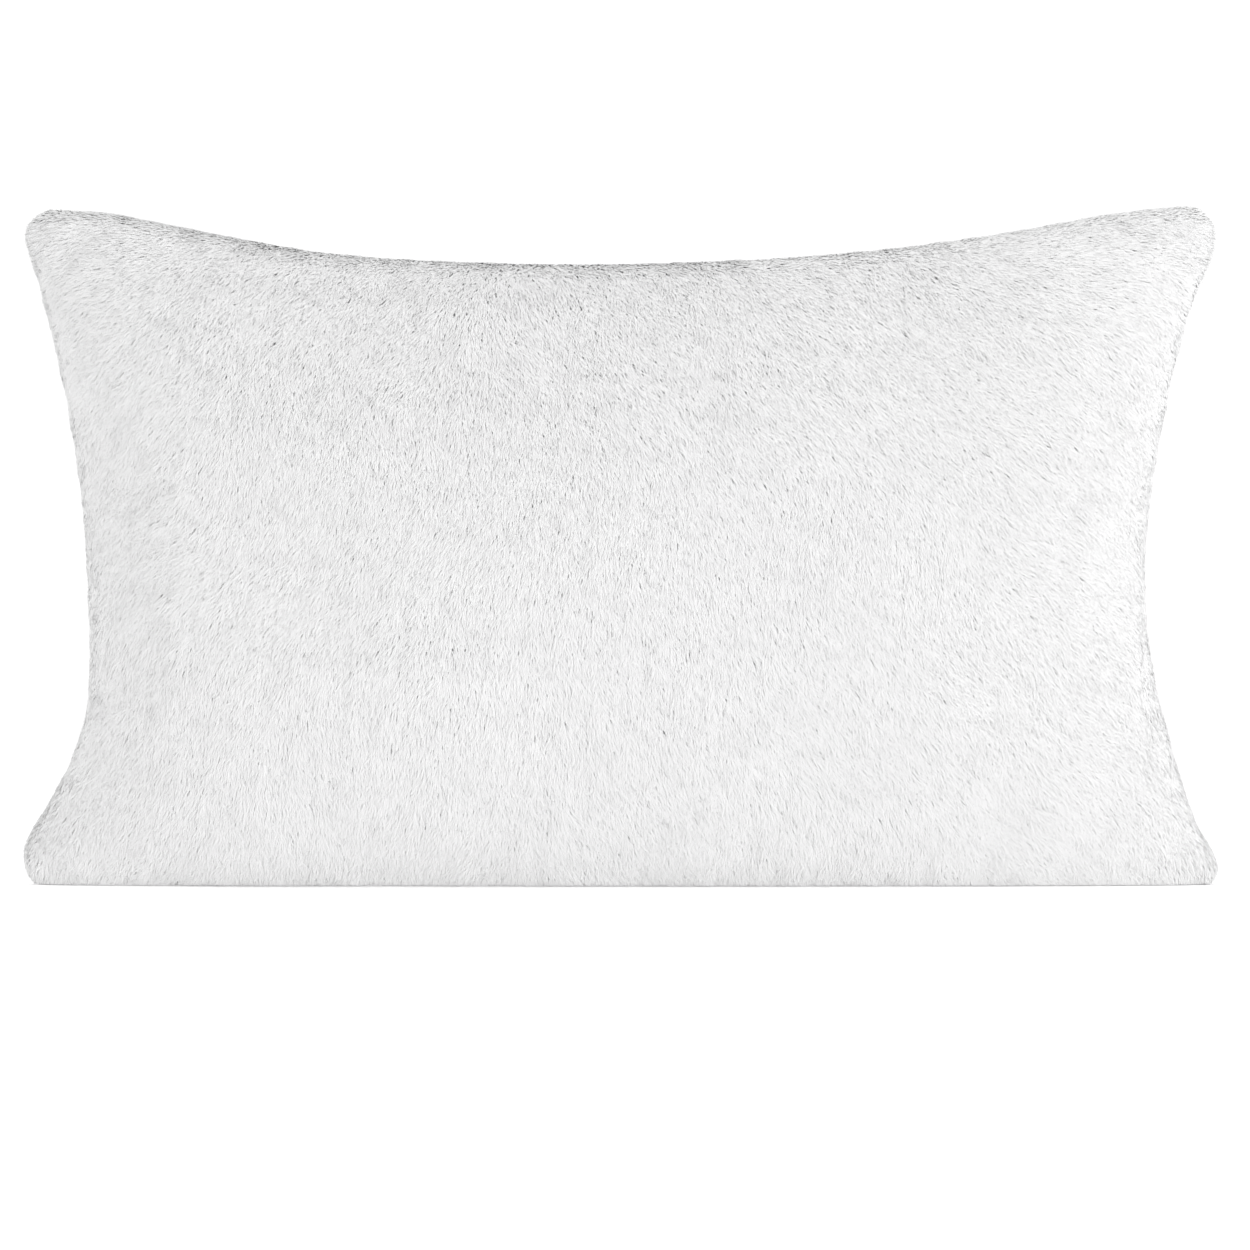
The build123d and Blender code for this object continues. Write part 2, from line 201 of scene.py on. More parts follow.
def waves(seed, count, shortest, longest):
    """Smooth noise over a plane, about -1 to 1: a sum of plane waves between two lengths in mm."""
    rng = np.random.default_rng(seed)
    length = np.exp(rng.uniform(np.log(shortest), np.log(longest), count))
    heading = rng.uniform(0, 2 * pi, count)
    phase = rng.uniform(0, 2 * pi, count)
    strength = np.sqrt(length / longest)
    kx, kz = 2 * pi * np.cos(heading) / length, 2 * pi * np.sin(heading) / length
    scale = 1.6 / np.sqrt((strength**2).sum())

    def noise(x, z):
        total = np.zeros(np.shape(x))
        for k in range(count):
            total += strength[k] * np.sin(kx[k] * x + kz[k] * z + phase[k])
        return total * scale

    return noise


def smooth_min(a, b, blend):
    h = np.clip(0.5 + (b - a) / (2 * blend), 0, 1)
    return b + (a - b) * h - blend * h * (1 - h)


def bump(t, centre, width):
    return np.exp(-(((t - centre) / width) ** 2))


right_side, left_side, top_edge = through(RIGHT_SIDE), through(LEFT_SIDE), through(TOP_EDGE)
seam_pucker = waves(3, 24, 14, 40)
slow_swell = waves(5, 16, 90, 260)
zip_ripple = waves(31, 20, 11, 34)
settled_moves = {}  # settle() fills it


# ---------------------------------------------------------------- the stuffed skins
def round_corners(u, v):
    """Pulls the square's four corners in to arcs of CORNER_RADIUS."""
    across_share, up_share = CORNER_RADIUS / HALF_WIDTH_TYPICAL, CORNER_RADIUS / HALF_HEIGHT_TYPICAL
    p = np.clip(1 - (1 - abs(u)) / across_share, 0, 1)
    q = np.clip(1 - (1 - abs(v)) / up_share, 0, 1)
    in_corner = (p > 0) & (q > 0)
    rounded_p, rounded_q = p * np.sqrt(1 - q * q / 2), q * np.sqrt(1 - p * p / 2)
    u = np.where(in_corner, np.sign(u) * (1 - (1 - rounded_p) * across_share), u)
    v = np.where(in_corner, np.sign(v) * (1 - (1 - rounded_q) * up_share), v)
    return u, v


def front_relief(x, z):
    """The folds that show in the plush: a low ridge, a hollow under the top edge and a side crease."""
    ridge = RIDGE_HEIGHT * bump(z, 98 + 0.02 * x, 9) * bump(x, -60, 95)
    hollow = HOLLOW_DEPTH * bump(z, 224, 20) * bump(x, -35, 75)
    crease = CREASE_DEPTH * bump(x - 0.0035 * (z - 120) ** 2, 176, 7) * bump(z, 150, 48)
    return ridge - hollow - crease


def skin(across, up, side, edge_inset=0.0, depth_inset=0.0):
    """Points of a panel in mm. Both angles run from -90 to 90 degrees, from seam to seam."""
    u, v = np.sin(across), np.sin(up)
    swell = np.cos(across) * np.sqrt(1 + u * u) * np.cos(up)
    u, v = round_corners(u, v)
    x = u * HALF_WIDTH_TYPICAL
    z = v * HALF_HEIGHT_TYPICAL + HALF_HEIGHT_TYPICAL + FOOT
    for _ in range(OUTLINE_PASSES):
        half_width = np.where(u > 0, right_side(z), left_side(z)) - edge_inset
        x = u * half_width
        foot = FOOT + edge_inset
        z = foot + (v + 1) / 2 * (top_edge(x) - edge_inset - foot)
    edge = np.clip(1 - swell, 0, 1) ** 2
    wrinkle = SEAM_PUCKER[side] * seam_pucker(x, z) * edge * np.clip(swell * 5, 0, 1)
    depth = (DEPTH - depth_inset) * swell + wrinkle + SLOW_SWELL * slow_swell(x, z) * np.clip(swell, 0, 1)
    if side == FRONT:
        depth = depth + front_relief(x, z) * np.clip(swell * 2, 0, 1)
    else:
        land = ZIP_LAND - depth_inset + LAND_SLOPE * np.clip(z - LAND_TOP, 0, None)
        depth = smooth_min(depth, land, LAND_BLEND)
    points = np.stack([x, side * depth, z], -1) + settled_move(across, up, side)
    points[..., 1] = side * np.clip(side * points[..., 1], 0, None)
    above = (points[..., 2] - edge_inset) / FLOOR_SOFTNESS
    points[..., 2] = edge_inset + FLOOR_SOFTNESS * np.logaddexp(0, above)
    return points


def settled_move(across, up, side):
    """What the simulation added to a panel's points, read smoothly between the points it moved."""
    if side not in settled_moves:
        return 0.0
    i, j = (across / pi + 0.5) * (SIM_COLUMNS - 1), (up / pi + 0.5) * (SIM_ROWS - 1)
    first_i, first_j = np.floor(i).astype(int) - 1, np.floor(j).astype(int) - 1
    total = 0.0
    for a, weight_a in enumerate(spline_weights(i % 1)):
        for b, weight_b in enumerate(spline_weights(j % 1)):
            near_i = np.clip(first_i + a, 0, SIM_COLUMNS - 1)
            near_j = np.clip(first_j + b, 0, SIM_ROWS - 1)
            total = total + (weight_a * weight_b)[..., None] * settled_moves[side][near_i, near_j]
    seam_hold = np.clip(SEAM_HOLD * np.cos(across) * np.cos(up), 0, 1)
    return total * seam_hold[..., None]


def spline_weights(t):
    """The four cubic B-spline weights at a fraction t between the middle two points."""
    return (1 - t) ** 3 / 6, (3 * t**3 - 6 * t**2 + 4) / 6, (1 + 3 * t + 3 * t**2 - 3 * t**3) / 6, t**3 / 6


def angle_grid(columns, rows):
    across = np.linspace(-pi / 2, pi / 2, columns)
    up = np.linspace(-pi / 2, pi / 2, rows)
    return np.meshgrid(across, up, indexing="ij")


def normals_of(grid, side):
    """Outward unit normals of a (columns, rows, 3) grid of points."""
    du = np.gradient(grid, axis=0)
    dv = np.gradient(grid, axis=1)
    normal = side * np.cross(dv, du)
    length = np.linalg.norm(normal, axis=-1, keepdims=True)
    facing = np.zeros_like(normal)
    facing[..., 1] = side
    return np.where(length > 1e-9, normal / np.maximum(length, 1e-9), facing)


# ---------------------------------------------------------------- meshes
def quads_object(name, points, quads, material, smooth=True):
    """A mesh object from points in millimetres and rows of four point numbers."""
    mesh = bpy.data.meshes.new(name)
    points = np.asarray(points, np.float32).reshape(-1, 3) * MM
    quads = np.asarray(quads, np.int32).reshape(-1, 4)
    mesh.vertices.add(len(points))
    mesh.vertices.foreach_set("co", points.ravel())
    mesh.loops.add(quads.size)
    mesh.loops.foreach_set("vertex_index", quads.ravel())
    mesh.polygons.add(len(quads))
    mesh.polygons.foreach_set("loop_start", np.arange(0, quads.size, 4, dtype=np.int32))
    mesh.update(calc_edges=True)
    mesh.polygons.foreach_set("use_smooth", np.full(len(quads), smooth))
    mesh.materials.append(material)
    piece = bpy.data.objects.new(name, mesh)
    bpy.context.scene.collection.objects.link(piece)
    return piece


def cells(index, flip=False):
    """The quads of a grid of point numbers."""
    corners = [index[:-1, :-1], index[1:, :-1], index[1:, 1:], index[:-1, 1:]]
    return np.stack(corners[::-1] if flip else corners, -1).reshape(-1, 4)


def grid_quads(columns, rows, flip=False):
    return cells(np.arange(columns * rows).reshape(columns, rows), flip)


def closed_skin(columns, rows, edge_inset=0.0, front_inset=0.0, back_inset=0.0):
    """Front and back as one closed form that shares its rim: (points, quads, which points are on the rim)."""
    angles = angle_grid(columns, rows)
    front = skin(*angles, FRONT, edge_inset, front_inset)
    back = skin(*angles, BACK, edge_inset, back_inset)
    index = np.arange(columns * rows).reshape(columns, rows)
    rim = np.ones(index.shape, bool)
    rim[1:-1, 1:-1] = False
    back_index = np.where(rim, index, index + index.size)
    quads = np.concatenate([cells(index), cells(back_index, flip=True)])
    return np.stack([front, back]), quads, rim


def threads(name, paths, radius, lean, material, sides=6):
    """Round threads along paths (n, k, 3) in mm. lean is a direction that no path runs in."""
    tangent = np.gradient(paths, axis=1)
    side = np.cross(tangent, lean)
    side /= np.linalg.norm(side, axis=-1, keepdims=True)
    out = np.cross(side, tangent)
    out /= np.linalg.norm(out, axis=-1, keepdims=True)
    turn = (np.arange(sides) * 2 * pi / sides)[:, None]
    points = paths[:, :, None] + radius * (np.cos(turn) * side[:, :, None] + np.sin(turn) * out[:, :, None])
    index = np.arange(points[..., 0].size).reshape(points.shape[:3])
    index = np.concatenate([index, index[:, :, :1]], 2)
    corners = [index[:, :-1, :-1], index[:, 1:, :-1], index[:, 1:, 1:], index[:, :-1, 1:]]
    piece = quads_object(name, points, np.stack(corners, -1), material)
    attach(piece, "pillow")
    return piece


# ---------------------------------------------------------------- materials
def cloth_material(name, colour, variation, patch, roughness, sheen):
    """Cloth whose colour drifts in patches, of the given number per metre."""
    material = bpy.data.materials.new(name)
    material.use_nodes = True
    nodes, links = material.node_tree.nodes, material.node_tree.links
    shader = nodes["Principled BSDF"]
    shader.inputs["Roughness"].default_value = roughness
    shader.inputs["Sheen Weight"].default_value = sheen
    shader.inputs["Sheen Roughness"].default_value = 0.5
    shader.inputs["Specular IOR Level"].default_value = 0.2
    place = nodes.new("ShaderNodeTexCoord")
    noise = nodes.new("ShaderNodeTexNoise")
    noise.inputs["Scale"].default_value = patch
    noise.inputs["Detail"].default_value = 4.0
    ramp = nodes.new("ShaderNodeValToRGB")
    ramp.color_ramp.elements[0].position = 0.3
    ramp.color_ramp.elements[1].position = 0.7
    ramp.color_ramp.elements[0].color = (*[c - variation for c in colour], 1)
    ramp.color_ramp.elements[1].color = (*colour, 1)
    links.new(place.outputs["Object"], noise.inputs["Vector"])
    links.new(noise.outputs["Fac"], ramp.inputs["Fac"])
    links.new(ramp.outputs["Color"], shader.inputs["Base Color"])
    return material


def add_relief(material, heights, strength, distance):
    """Bumps the surface by the highest of some texture outputs."""
    nodes, links = material.node_tree.nodes, material.node_tree.links
    top = heights[0]
    for height in heights[1:]:
        higher = nodes.new("ShaderNodeMath")
        higher.operation = "MAXIMUM"
        links.new(top, higher.inputs[0])
        links.new(height, higher.inputs[1])
        top = higher.outputs[0]
    bump_node = nodes.new("ShaderNodeBump")
    bump_node.inputs["Strength"].default_value = strength
    bump_node.inputs["Distance"].default_value = distance
    links.new(top, bump_node.inputs["Height"])
    links.new(bump_node.outputs["Normal"], nodes["Principled BSDF"].inputs["Normal"])


def placed(material, kind):
    """A texture node in the object's own coordinates."""
    nodes, links = material.node_tree.nodes, material.node_tree.links
    texture = nodes.new(kind)
    place = nodes.new("ShaderNodeTexCoord")
    links.new(place.outputs["Object"], texture.inputs["Vector"])
    return texture


def ribs(material, direction, pitch):
    """Thread ridges across one axis, pitch metres apart, bent a little by noise."""
    wave = placed(material, "ShaderNodeTexWave")
    wave.bands_direction = direction
    wave.inputs["Scale"].default_value = 2 * pi / 20 / pitch
    wave.inputs["Distortion"].default_value = 0.6
    wave.inputs["Detail"].default_value = 2.0
    return wave.outputs["Fac"]


def grain(material, scale):
    noise = placed(material, "ShaderNodeTexNoise")
    noise.inputs["Scale"].default_value = scale
    noise.inputs["Detail"].default_value = 3.0
    return noise.outputs["Fac"]


def plush_material():
    return cloth_material("plush", (0.97, 0.97, 0.97), 0.02, 60.0, 0.9, 0.1)


def back_fabric_material():
    """Plain weave, a little brushed."""
    material = cloth_material("back_fabric", (0.87, 0.87, 0.865), 0.03, 90.0, 0.85, 0.3)
    add_relief(material, [ribs(material, "X", 0.0006), ribs(material, "Z", 0.0006)], 0.5, 0.0001)
    return material


def zip_tape_material():
    """Twill tape: diagonal ribs."""
    material = cloth_material("zip_tape", (0.9, 0.9, 0.89), 0.03, 200.0, 0.8, 0.2)
    add_relief(material, [ribs(material, "DIAGONAL", 0.0008)], 0.7, 0.00015)
    return material


def zip_coil_material():
    material = cloth_material("zip_coil", (0.88, 0.88, 0.87), 0.03, 300.0, 0.35, 0.0)
    material.node_tree.nodes["Principled BSDF"].inputs["Specular IOR Level"].default_value = 0.5
    return material


def zip_metal_material():
    """White enamel over cast metal, dulled in patches by handling."""
    material = cloth_material("zip_metal", (0.86, 0.86, 0.85), 0.05, 400.0, 0.3, 0.0)
    nodes, links = material.node_tree.nodes, material.node_tree.links
    shader = nodes["Principled BSDF"]
    shader.inputs["Specular IOR Level"].default_value = 0.6
    shader.inputs["Coat Weight"].default_value = 0.4
    shader.inputs["Coat Roughness"].default_value = 0.15
    dull = nodes.new("ShaderNodeMapRange")
    dull.inputs["To Min"].default_value = 0.22
    dull.inputs["To Max"].default_value = 0.45
    links.new(grain(material, 500.0), dull.inputs["Value"])
    links.new(dull.outputs[0], shader.inputs["Roughness"])
    return material


def thread_material():
    """Spun thread, twisted."""
    material = cloth_material("thread", (0.95, 0.95, 0.94), 0.05, 900.0, 0.6, 0.2)
    add_relief(material, [ribs(material, "DIAGONAL", 0.0004)], 0.6, 0.00006)
    return material


def label_material():
    """Satin ribbon."""
    material = cloth_material("label", (0.96, 0.96, 0.95), 0.015, 120.0, 0.45, 0.3)
    add_relief(material, [ribs(material, "X", 0.00035)], 0.4, 0.00004)
    return material


def insert_fabric_material():
    """Bonded fibre sheet with a soft grain."""
    material = cloth_material("insert_fabric", (0.93, 0.93, 0.93), 0.04, 350.0, 0.9, 0.1)
    add_relief(material, [grain(material, 900.0)], 0.5, 0.0002)
    return material


def fibre_material():
    material = cloth_material("fibre", (0.95, 0.95, 0.95), 0.05, 120.0, 1.0, 0.6)
    add_relief(material, [grain(material, 400.0)], 0.8, 0.0008)
    return material


# ---------------------------------------------------------------- plush front
def front_backing():
    """The knitted backing that the pile grows from."""
    columns, rows = 260, 170
    grid = skin(*angle_grid(columns, rows), FRONT, BACKING_EDGE, PILE_LIFT)
    piece = quads_object("plush_backing", grid, grid_quads(columns, rows), plush)
    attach(piece, "pillow")
    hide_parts("front_panel")


def pile_flow(x, z):
    """The way the pile is combed: it fans out and down from above the middle of the top edge."""
    away_x, away_z = x - FAN_X, z - FAN_Z
    turn = FLOW_TURN * flow_turn(x, z)
    length = np.hypot(away_x, away_z)
    dx, dz = away_x / length, away_z / length
    return dx * np.cos(turn) - dz * np.sin(turn), dx * np.sin(turn) + dz * np.cos(turn)


def tuft_roots(rng):
    """Points spread evenly over the front skin, with their normals: (points, normals)."""
    columns, rows = 420, 260
    across, up = angle_grid(columns, rows)
    grid = skin(across, up, FRONT, BACKING_EDGE, PILE_LIFT)
    normal = normals_of(grid, FRONT)
    a, b = grid[1:, 1:] - grid[:-1, :-1], grid[1:, :-1] - grid[:-1, 1:]
    area = np.linalg.norm(np.cross(a, b), axis=-1) / 2
    wanted = area * TUFTS_PER_CM2 / 100
    count = np.floor(wanted + rng.random(wanted.shape)).astype(int)
    i, j = np.nonzero(count)
    i, j = np.repeat(i, count[i, j]), np.repeat(j, count[i, j])
    s, t = rng.random(len(i))[:, None], rng.random(len(i))[:, None]

    def between(values):
        low = values[i, j] * (1 - s) + values[i + 1, j] * s
        high = values[i, j + 1] * (1 - s) + values[i + 1, j + 1] * s
        return low * (1 - t) + high * t

    normals = between(normal)
    normals /= np.linalg.norm(normals, axis=1, keepdims=True)
    faces_front = -normals[:, 1] > PILE_STARTS
    return between(grid)[faces_front], normals[faces_front]


def edge_room(points):
    """How far points in mm are inside the outline, its foot left out."""
    x, z = points[:, 0], points[:, 2]
    return np.minimum(np.where(x > 0, right_side(z), left_side(z)) - abs(x), top_edge(x) - z)


def tufts(root, normal, rng):
    """Curved tapering locks, four rings of left, crown and right: (n, 4, 3, 3) points and normals."""
    n = len(root)
    x, z = root[:, 0], root[:, 2]
    comb_x, comb_z = pile_flow(x, z)
    stray = rng.normal(0, STRAY, n)
    comb = np.stack([comb_x - comb_z * stray, np.zeros(n), comb_z + comb_x * stray], 1)
    comb -= (comb * normal).sum(1, keepdims=True) * normal
    comb /= np.maximum(np.linalg.norm(comb, axis=1, keepdims=True), 1e-6)
    clump = 1 + CLUMPING * clump_height(x, z)
    facing = -normal[:, 1]
    grown = np.clip((facing - PILE_STARTS) / (PILE_FULL - PILE_STARTS), SHORTEST_GROWN, 1)
    length = TUFT_LENGTH * rng.uniform(*LENGTH_SPREAD, n) * clump * grown
    length = np.minimum(length, EDGE_LENGTH + EDGE_GAIN * np.clip(edge_room(root), 0, None))
    lift = PILE_LIFT * rng.uniform(*LIFT_SPREAD, n) * clump * np.clip(facing / LYING_BELOW, FLATTEST, 1)
    width = TUFT_WIDTH * rng.uniform(*WIDTH_SPREAD, n)
    side = np.cross(comb, normal)
    tilt = rng.normal(0, TILT, n)[:, None]
    side = side * np.cos(tilt) + normal * np.sin(tilt)
    rings = []
    for t, spread in TUFT_RINGS:
        along = (length * (0.25 * t + 0.75 * t * t))[:, None]
        high = (lift * (1.9 * t - 0.95 * t * t))[:, None]
        spine = root + comb * along + normal * high
        half = (width * spread / 2)[:, None]
        crown = normal * (TUFT_CROWN * half)
        rings.append(np.stack([spine - side * half, spine + crown, spine + side * half], 1))
    points = np.stack(rings, 1)
    points[..., 2] = np.maximum(points[..., 2], FLOOR_CLEARANCE)
    across = np.stack([-side, 0 * side, side], 1)[:, None]
    own = np.broadcast_to(across, points.shape) + normal[:, None, None, :]
    return points, own / np.linalg.norm(own, axis=-1, keepdims=True)


def pile_band(name, points, normals, closed):
    """One piece of pile: flat locks, or three-sided closed ones."""
    ring = np.arange(4 * points.shape[2]).reshape(4, points.shape[2])
    if closed:
        ring = np.concatenate([ring, ring[:, :1]], 1)
    quads = cells(ring, flip=True)[None] + 4 * points.shape[2] * np.arange(len(points))[:, None, None]
    piece = quads_object(name, points, quads, plush)
    piece.data.normals_split_custom_set_from_vertices(normals.reshape(-1, 3))
    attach(piece, "pillow")


def pile_shading(root, normal, own, at_rim):
    """Shading normals between each lock's own and that of the pile as a whole."""
    facing = -normal[:, 1]
    near_edge = np.clip(1 - edge_room(root) / TUFT_LENGTH, 0, 1)
    outward = (root - (0, 0, HALF_HEIGHT_TYPICAL)) * (1, 0, HALF_WIDTH_TYPICAL / HALF_HEIGHT_TYPICAL)
    outward /= np.linalg.norm(outward, axis=1, keepdims=True)
    scattered = normal + np.outer(np.clip(2 * facing, 0, 1) * (1 - near_edge), (0.0, -PILE_SCATTER, 0.0))
    scattered += RIM_OUTWARD * near_edge[:, None] * outward
    scattered /= np.linalg.norm(scattered, axis=1, keepdims=True)
    own_share = np.where(at_rim, RIM_OWN_NORMAL, TUFT_OWN_NORMAL) * (1 - OWN_NORMAL_TILT * normal[:, 2])
    own_share = own_share[:, None, None, None]
    return scattered[:, None, None, :] * (1 - own_share) + own * own_share


def pile():
    """The pile, in bands from left to right so that no piece grows too heavy."""
    rng = np.random.default_rng(PILE_SEED)
    root, normal = tuft_roots(rng)
    points, own = tufts(root, normal, rng)
    at_rim = (-normal[:, 1] < SOLID_BELOW) | (edge_room(root) < TUFT_LENGTH)
    shade = pile_shading(root, normal, own, at_rim)
    order = np.argsort(root[:, 0], kind="stable")
    for k, band in enumerate(np.array_split(order[~at_rim[order]], FLAT_PIECES)):
        pile_band(f"plush_pile_{k + 1}", points[band][:, :, ::2], shade[band][:, :, ::2], closed=False)
    for k, band in enumerate(np.array_split(order[at_rim[order]], SOLID_PIECES)):
        pile_band(f"plush_rim_pile_{k + 1}", points[band], shade[band], closed=True)


flow_turn = waves(21, 18, 45, 160)
clump_height = waves(23, 30, 6, 22)


# ---------------------------------------------------------------- simulation
def settle():
    """Presses the cover out over its fill with cloth simulation, held at its seam, its zip and the floor."""
    start, quads, rim = closed_skin(SIM_COLUMNS, SIM_ROWS)
    near_zip = abs(start[..., 2] - ZIP_Z) < HELD_NEAR_ZIP
    near_zip &= (abs(start[..., 0]) < SLOT_HALF_LENGTH + HELD_NEAR_ZIP) & (start[..., 1] > 0)
    held = rim | near_zip | (start[..., 2] < HELD_NEAR_FLOOR)
    cover = quads_object("settling_cover", start, quads, plush)
    group = cover.vertex_groups.new(name="held")
    group.add(np.flatnonzero(held).tolist(), 1.0, "REPLACE")
    cloth = cover.modifiers.new("cloth", "CLOTH")
    cloth.settings.vertex_group_mass = group.name
    cloth.settings.use_pressure = True
    cloth.settings.uniform_pressure_force = SIM_PRESSURE
    cloth.settings.shrink_min = -SIM_SLACK
    cloth.settings.effector_weights.gravity = 0.0
    cloth.point_cache.frame_end = SIM_FRAMES
    for frame_number in range(1, SIM_FRAMES + 1):
        bpy.context.scene.frame_set(frame_number)
    pressed = cover.evaluated_get(bpy.context.evaluated_depsgraph_get()).data
    end = np.empty(start.size, np.float32)
    pressed.vertices.foreach_get("co", end)
    bpy.data.objects.remove(cover)
    bpy.context.scene.frame_set(1)
    move = end.reshape(start.shape) / MM - start
    length = np.linalg.norm(move, axis=-1, keepdims=True)
    move *= np.minimum(1, SIM_MOST / np.maximum(length, 1e-6))
    move[:, rim] = 0.0
    settled_moves[FRONT], settled_moves[BACK] = move[0] * (1 - PLUSH_STIFFNESS), move[1]


# ---------------------------------------------------------------- back
def slot_shut(x):
    """0 along the zip's slot, and 1 beyond its ends."""
    beyond = np.clip((abs(x) - SLOT_HALF_LENGTH + 2) / 5, 0, 1)
    return beyond * beyond * (3 - 2 * beyond)


def slot_edge(x, way):
    """Height of a back panel's hem: clear of the chain along the slot, closed up beyond its ends."""
    shut = slot_shut(x)
    return ZIP_Z + way * (SLOT_HALF_HEIGHT * (1 - shut) + SEAM_HALF_GAP * shut)


def back_panel(way, node):
    """The back above or below the zip, with its hem folded in along the slot."""
    columns, rows = 440, 170 if way == UPPER else 60
    across = np.linspace(-pi / 2, pi / 2, columns)
    x = np.sin(across) * np.where(across > 0, right_side(ZIP_Z), left_side(ZIP_Z))
    hem_v = 2 * (slot_edge(x, way) - FOOT) / (top_edge(x) - FOOT) - 1
    hem_up = np.arcsin(hem_v)[:, None]
    t = np.linspace(0, 1, rows)
    up = hem_up + (way * pi / 2 - hem_up) * t * (0.3 + 0.7 * t)
    panel = skin(np.broadcast_to(across[:, None], up.shape), up, BACK)
    from_zip = way * (panel[..., 2] - ZIP_Z)
    ripple = np.clip((from_zip - TOPSTITCH_OFFSET) / RIPPLE_STARTS, 0, 1) * np.exp(-from_zip / RIPPLE_REACH)
    stitched = bump(from_zip, TOPSTITCH_OFFSET, 1.0) * (abs(panel[..., 0]) < SLOT_HALF_LENGTH)
    inward = RIPPLE_HEIGHT * ripple * zip_ripple(panel[..., 0], panel[..., 2]) + TOPSTITCH_DIMPLE * stitched
    panel[..., 1] -= inward * np.clip(panel[..., 1] / RELIEF_FADE, 0, 1)
    depth_shown = np.clip(panel[:, 0, 1] / HEM_SHOWS_FROM, 0, 1)
    height_shown = way * depth_shown * (1 - (1 - HEM_CLOSED_HEIGHT) * slot_shut(x))
    hem = [
        panel[:, 0] + np.stack([0 * x, depth * depth_shown, height * height_shown], -1)
        for depth, height in HEM_FOLD
    ]
    grid = np.concatenate([np.stack(hem[::-1], 1), panel], 1)
    piece = quads_object(f"cloth_{node}", grid, grid_quads(*grid.shape[:2], flip=way == UPPER), back_fabric)
    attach(piece, "pillow")
    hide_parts(node)


# ---------------------------------------------------------------- zip
def zip_tape(node):
    """A woven tape with rounded edges and a selvedge rib on each."""
    low, high = (np.array(corner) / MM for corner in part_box(node))
    turn = np.linspace(0, 2 * pi, 33)[:-1]
    wide = np.sign(np.cos(turn)) * abs(np.cos(turn)) ** 0.5
    thick = np.sign(np.sin(turn)) * abs(np.sin(turn)) ** 0.7 * (0.75 + 0.25 * abs(wide) ** 6)
    along = np.linspace(low[0], high[0], 161)
    y = (low[1] + high[1]) / 2 + thick * (high[1] - low[1]) / 2
    z = (low[2] + high[2]) / 2 + wide * (high[2] - low[2]) / 2
    loops = np.stack([np.broadcast_to(v, (len(along), len(turn))) for v in (along[:, None], y, z)], -1)
    index = np.arange(loops[..., 0].size).reshape(loops.shape[:2])
    piece = quads_object(f"woven_{node}", loops, cells(np.concatenate([index, index[:, :1]], 1)), tape_cloth)
    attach(piece, "pillow")
    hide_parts(node)


def zip_coil(way, node):
    """One monofilament wound along its tape's edge, half a turn out of step with the other."""
    turns = 2 * COIL_HALF_LENGTH / COIL_PITCH - 1
    t = np.linspace(0, turns, int(turns * 14))
    angle = 2 * pi * t
    middle = (COIL_NEAR + COIL_FAR) / 2
    reach = (COIL_FAR - COIL_NEAR) / 2 - COIL_RADIUS
    x = -COIL_HALF_LENGTH + COIL_PITCH * (t + (0.25 if way == UPPER else 0.75))
    y = (COIL_FLOOR + COIL_TOP) / 2 + ((COIL_TOP - COIL_FLOOR) / 2 - COIL_RADIUS) * np.sin(angle)
    z = ZIP_Z + way * (middle - reach * np.cos(angle))
    piece = threads(f"wound_{node}", np.stack([x, y, z], -1)[None], COIL_RADIUS, (1.0, 0.0, 0.0), nylon)
    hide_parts(node)


def stitch_row(name, x, y, z, length, lean_back=0.0):
    """Stitches that run along X and dip into the cloth at both ends."""
    t = np.linspace(-1, 1, 9)
    dip = THREAD_RADIUS * (0.75 - 1.9 * t**4)
    path = np.stack(np.broadcast_arrays(x[:, None] + t * length / 2, y + dip, z + lean_back * t), -1)
    piece = threads(name, path, THREAD_RADIUS, (0.0, 1.0, 0.0), thread)
    return piece


def zip_topstitches(way, node):
    count = int(2 * SLOT_HALF_LENGTH / STITCH_PITCH)
    x = (np.arange(count) - (count - 1) / 2) * STITCH_PITCH
    depth = ZIP_LAND - TOPSTITCH_DIMPLE
    piece = stitch_row(f"sewn_{node}", x, depth, ZIP_Z + way * TOPSTITCH_OFFSET, STITCH_LENGTH)
    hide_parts(node)


def coil_stitches():
    """Slanted stitches that bind both coils to their tapes."""
    count = int(2 * COIL_HALF_LENGTH / COIL_PITCH) - 4
    x = (np.arange(count) - (count - 1) / 2) * COIL_PITCH
    y = COIL_TOP - THREAD_RADIUS
    for way, word in ((UPPER, "upper"), (LOWER, "lower")):
        z = ZIP_Z + way * COIL_STITCH_OFFSET
        stitch_row(f"coil_stitches_{word}", x, y, z, COIL_STITCH_LENGTH, COIL_STITCH_LEAN)


def bartacks():
    """Zigzag of thread, packed close, over each end of the slot."""
    node = "zip_end_bartacks"
    low, high = (np.array(corner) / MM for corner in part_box(node))
    middle_y = low[1] + THREAD_RADIUS * 0.6
    t = np.linspace(0, 1, 241)
    z = low[2] + THREAD_RADIUS + (high[2] - low[2] - 2 * THREAD_RADIUS) * t
    phase = 2 * pi * BARTACK_SWINGS * t
    swing = BARTACK_REACH * np.arcsin(np.sin(phase)) * 2 / pi
    y = middle_y + 0.1 * np.cos(2 * phase)
    paths = [np.stack([x + swing, y, z], -1) for x in (low[0] + BARTACK_INSET, high[0] - BARTACK_INSET)]
    piece = threads("sewn_bartacks", np.stack(paths), THREAD_RADIUS, (0.0, 1.0, 0.0), thread)
    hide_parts(node)


# ---------------------------------------------------------------- insert
def insert_panel(side, depth_inset, node):
    columns, rows = 160, 100
    grid = skin(*angle_grid(columns, rows), side, INSERT_EDGE, depth_inset)
    quads = grid_quads(columns, rows, flip=side == BACK)
    piece = quads_object(f"cloth_{node}", grid, quads, insert_fabric)
    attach(piece, "pillow")
    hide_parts(node)


